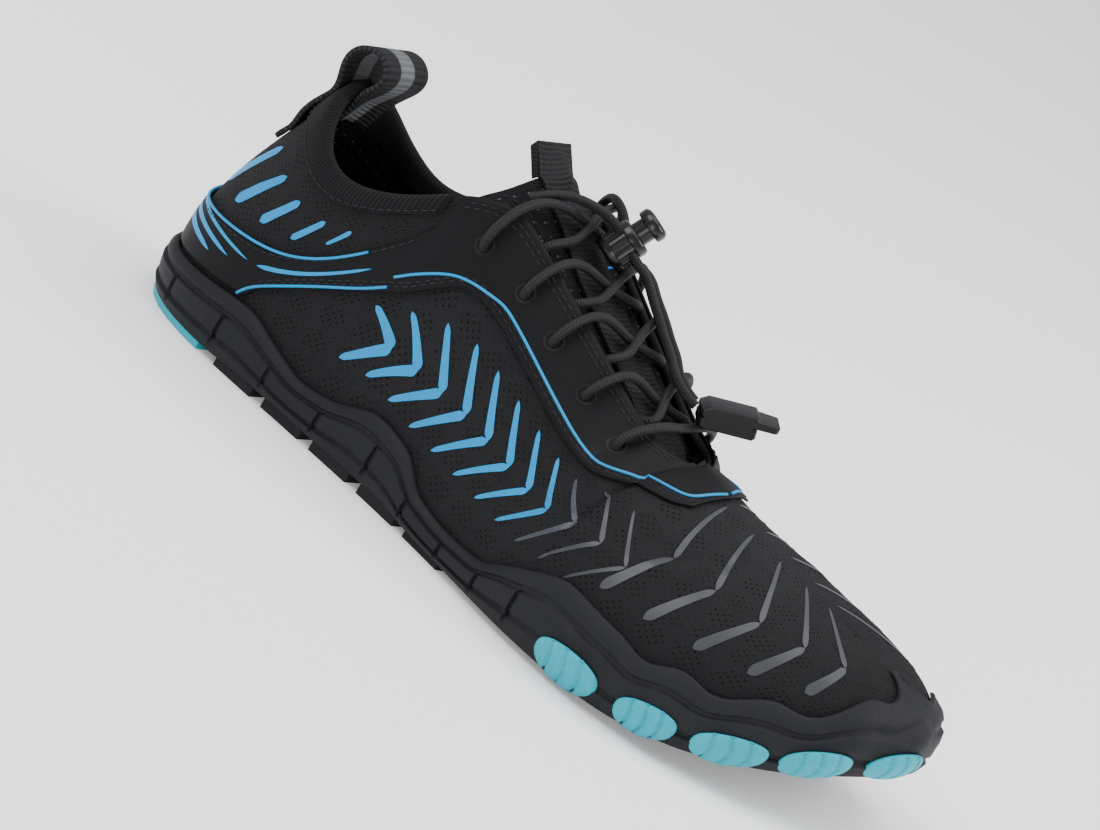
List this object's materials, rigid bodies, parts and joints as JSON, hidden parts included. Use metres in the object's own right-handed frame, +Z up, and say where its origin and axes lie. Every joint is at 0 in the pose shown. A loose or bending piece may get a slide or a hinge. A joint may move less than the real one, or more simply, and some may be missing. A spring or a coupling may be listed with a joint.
{
  "type": "barefoot shoe",
  "caption": "Low barefoot running shoe for the right foot: knitted upper with bonded overlay, cupped lugged rubber sole and drawcord lacing with a cord lock.",
  "frame": {"origin": "on the floor under the heel, on the heel pad's flat underside", "axes": "+X towards the toe, +Y towards the big-toe side, +Z up"},
  "size_m": [0.2773, 0.1055, 0.1063],
  "materials": {
    "black_rubber": "moulded, fine grain",
    "blue_rubber": "moulded, satin",
    "knit": "knitted mesh",
    "lining": "brushed lining",
    "bonded_film": "bonded film, matte",
    "cuff_cloth": "stretch binding",
    "webbing": "woven tape",
    "lace": "braided cord",
    "lock_plastic": "gloss",
    "clip_plastic": "satin"
  },
  "bodies": {
    "shoe": {"outsole": "black_rubber", "toe_pod_1": "blue_rubber", "toe_pod_2": "blue_rubber", "toe_pod_3": "blue_rubber", "toe_pod_4": "blue_rubber", "toe_pod_5": "blue_rubber", "tread_pad_1": "blue_rubber", "tread_pad_2": "blue_rubber", "tread_pad_3": "blue_rubber", "tread_pad_4": "blue_rubber", "tread_pad_5": "blue_rubber", "heel_pad": "blue_rubber", "insole": "lining", "upper": "knit", "quarter_overlay": "bonded_film", "collar_cuff": "cuff_cloth", "tongue": "knit", "tongue_webbing": "webbing", "heel_pull_loop": "webbing", "lace_bar": "lace", "lace_cross_1": "lace", "lace_cross_2": "lace", "lace_cross_3": "lace", "lace_cross_4": "lace", "lace_top_near": "lace", "lace_top_far": "lace", "lace_tail_a": "lace", "lace_tail_b": "lace", "cord_lock_barrel": "lock_plastic", "cord_end_clip": "clip_plastic"},
    "lock_button": {"cord_lock_plunger": "lock_plastic"}
  },
  "joints": [
    {"name": "lock_press", "type": "slide", "parent": "shoe", "child": "lock_button", "axis": [0.2702, 0.4003, 0.8756], "range_m": [-0.003, 0], "stiffness_N_per_m": 800, "springref_m": 0.001}
  ]
}
